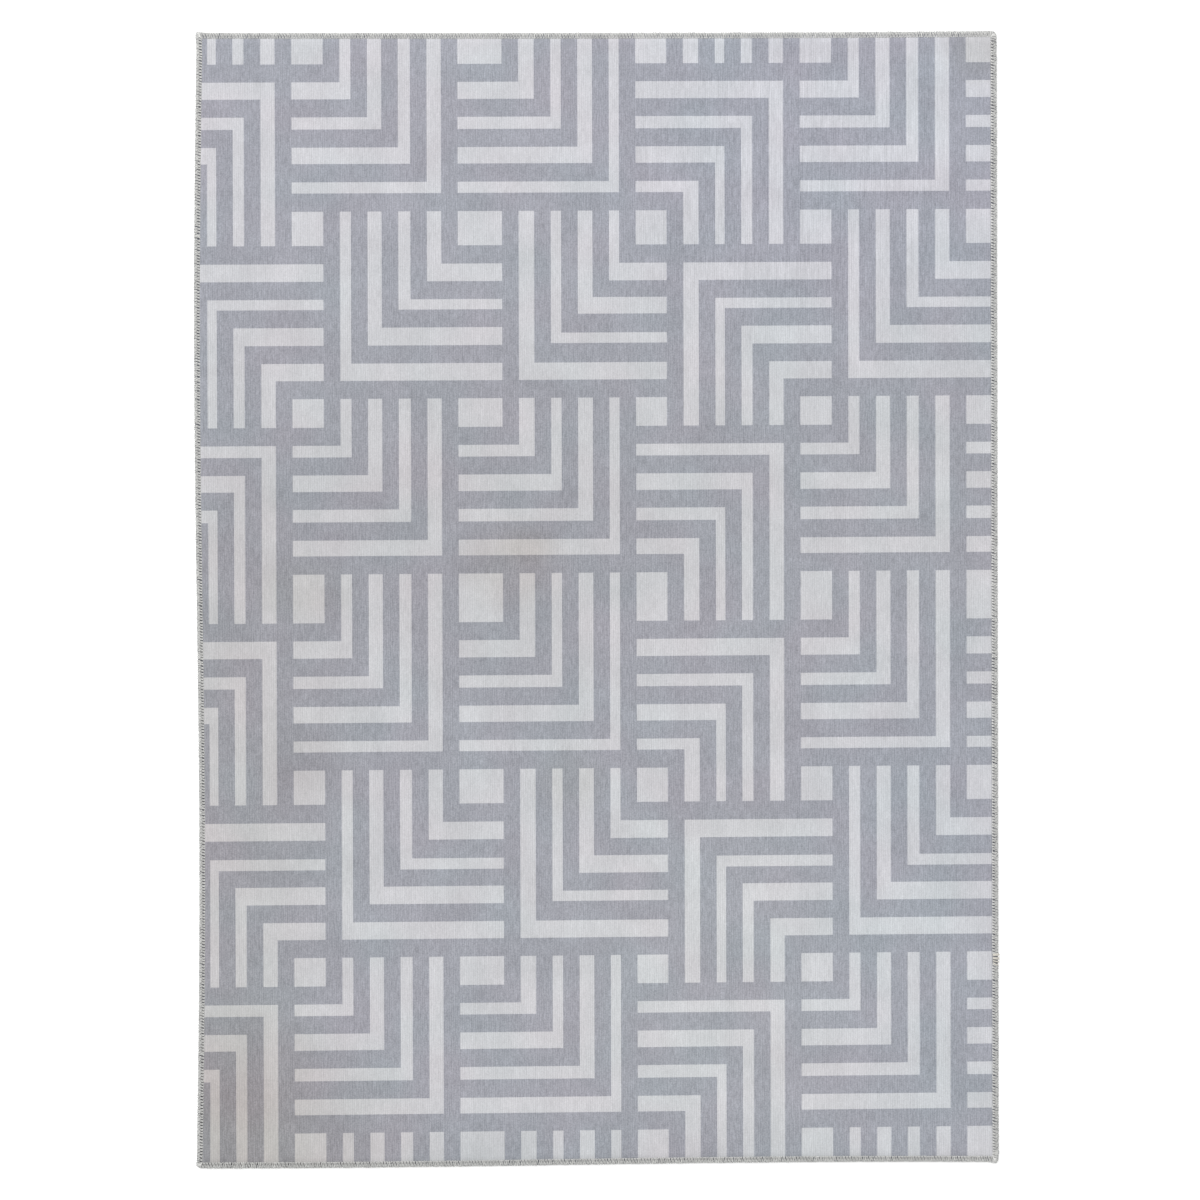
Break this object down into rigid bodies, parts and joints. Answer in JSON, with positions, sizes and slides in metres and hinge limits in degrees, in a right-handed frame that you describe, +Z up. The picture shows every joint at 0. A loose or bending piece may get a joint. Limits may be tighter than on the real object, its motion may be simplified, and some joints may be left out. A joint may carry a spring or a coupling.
{
  "type": "area rug",
  "caption": "Rectangular low-pile area rug with nested right-angle stripes printed on the face, a felt back with grip dots and an overlocked edge.",
  "frame": {"origin": "centre of the underside, on the floor that the rug lies on", "axes": "+X across the width towards the edge with the start and finish of the stitching, +Y along the length, +Z up through the thickness"},
  "size_m": [1.2009, 1.7, 0.005],
  "materials": {
    "printed_face": "matte",
    "bonding_film": "satin",
    "felt_back": "matte",
    "grip_coating": "satin",
    "edge_yarn": "matte",
    "knot_yarn": "matte",
    "label_satin": "satin"
  },
  "bodies": {
    "rug": {"face_cloth": "printed_face", "bonding_film": "bonding_film", "backing_felt": "felt_back", "grip_dots": "grip_coating", "needle_thread": "edge_yarn", "upper_looper_thread": "edge_yarn", "lower_looper_thread": "edge_yarn", "start_finish_knot": "knot_yarn"},
    "label": {"care_label": "label_satin"}
  },
  "joints": [
    {"name": "label_flap", "type": "hinge", "parent": "rug", "child": "label", "pos_m": [0.43, -0.842, 0], "axis": [-1, 0, 0], "range_deg": [0, 180]}
  ]
}
